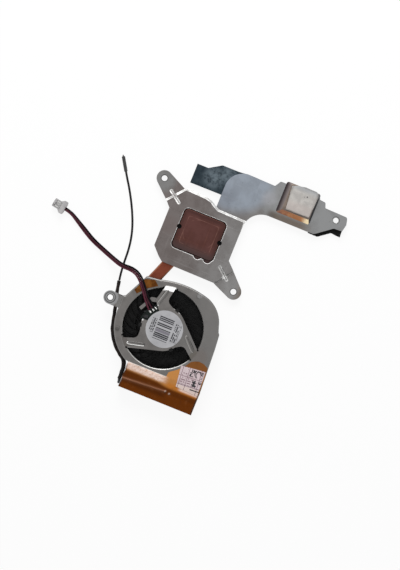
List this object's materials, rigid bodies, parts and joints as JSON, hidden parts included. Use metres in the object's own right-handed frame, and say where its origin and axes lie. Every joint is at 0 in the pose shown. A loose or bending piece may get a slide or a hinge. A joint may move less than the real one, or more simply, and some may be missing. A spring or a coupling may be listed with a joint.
{
  "type": "laptop cooling fan heatsink",
  "caption": "Flat laptop blower whose heat pipe runs from outlet fins to a copper cold plate in a grey bracket, with a long arm carrying a chipset block, a lead with a plug and a sensor cable.",
  "frame": {"origin": "on the fan's axis, at the underside of the fan's base", "axes": "+Z along the fan's axis towards the inlet and the chips, +Y from the fan to the bracket (the air leaves towards -Y), +X along the outlet towards the bracket's arm"},
  "size_m": [0.1408, 0.1271, 0.0109],
  "materials": {
    "cover_metal": "satin, dark grey coating with fine scuffs",
    "base_metal": "satin, dark coating",
    "impeller_plastic": "fine matt moulding",
    "cup_steel": "drawn steel",
    "magnet": "bonded ferrite",
    "shaft_steel": "ground",
    "retainer_plastic": "clear natural plastic",
    "tube_brass": "turned",
    "bush_bronze": "sintered and oiled",
    "thrust_plastic": "smooth natural plastic",
    "core_steel": "stacked laminations",
    "coil_wire": "enamelled copper wire",
    "carrier_plastic": "matt moulding",
    "board_green": "solder mask",
    "solder": "domed solder",
    "chip_plastic": "moulded",
    "label_film": "printed film",
    "wire_jackets": "black, brown and dark red jackets",
    "small_tape": "amber film",
    "pipe_copper": "flattened, dull copper",
    "fin_metal": "folded sheet",
    "plate_copper": "milled, with a faint pedestal",
    "bracket_metal": "satin grey plating with fine handling marks",
    "block_copper": "cast and milled",
    "pad_grey": "soft pad with oil stains",
    "film_dark": "blue-black film",
    "foam_black": "open foam",
    "outlet_film": "amber film, dark over the fins",
    "label_paper": "thin paper",
    "sleeve_black": "woven sleeve",
    "bead_resin": "dipped resin",
    "cable_black": "soft black jacket",
    "cable_end_black": "sheath with a cut end",
    "lead_jackets": "black, brown and dark red jackets",
    "plug_ivory": "natural nylon",
    "contact_tin": "tinned"
  },
  "bodies": {
    "cooler": {"fan_cover": "cover_metal", "fan_base": "base_metal", "bearing_tube": "tube_brass", "bearing_bush": "bush_bronze", "thrust_disc": "thrust_plastic", "stator_core": "core_steel", "stator_coils": "coil_wire", "motor_carrier": "carrier_plastic", "motor_board": "board_green", "solder_pads": "solder", "board_parts": "chip_plastic", "motor_label": "label_film", "motor_wires": "wire_jackets", "lead_tape": "small_tape", "heat_pipe": "pipe_copper", "fin_stack": "fin_metal", "cold_plate": "plate_copper", "bracket": "bracket_metal", "chipset_block": "block_copper", "thermal_pad": "pad_grey", "insulating_film": "film_dark", "foam_pad": "foam_black", "outlet_tape": "outlet_film", "inspection_label": "label_paper", "sensor_sleeve": "sleeve_black", "sensor_bead": "bead_resin", "sensor_cable": "cable_black", "cable_end": "cable_end_black", "fan_lead": "lead_jackets", "plug_housing": "plug_ivory", "plug_contacts": "contact_tin"},
    "rotor": {"impeller": "impeller_plastic", "rotor_cup": "cup_steel", "magnet_ring": "magnet", "rotor_shaft": "shaft_steel", "shaft_retainer": "retainer_plastic"}
  },
  "joints": [
    {"name": "fan_spin", "type": "hinge", "parent": "cooler", "child": "rotor", "pos_m": [0, 0, 0], "axis": [0, 0, 1], "continuous": true}
  ]
}
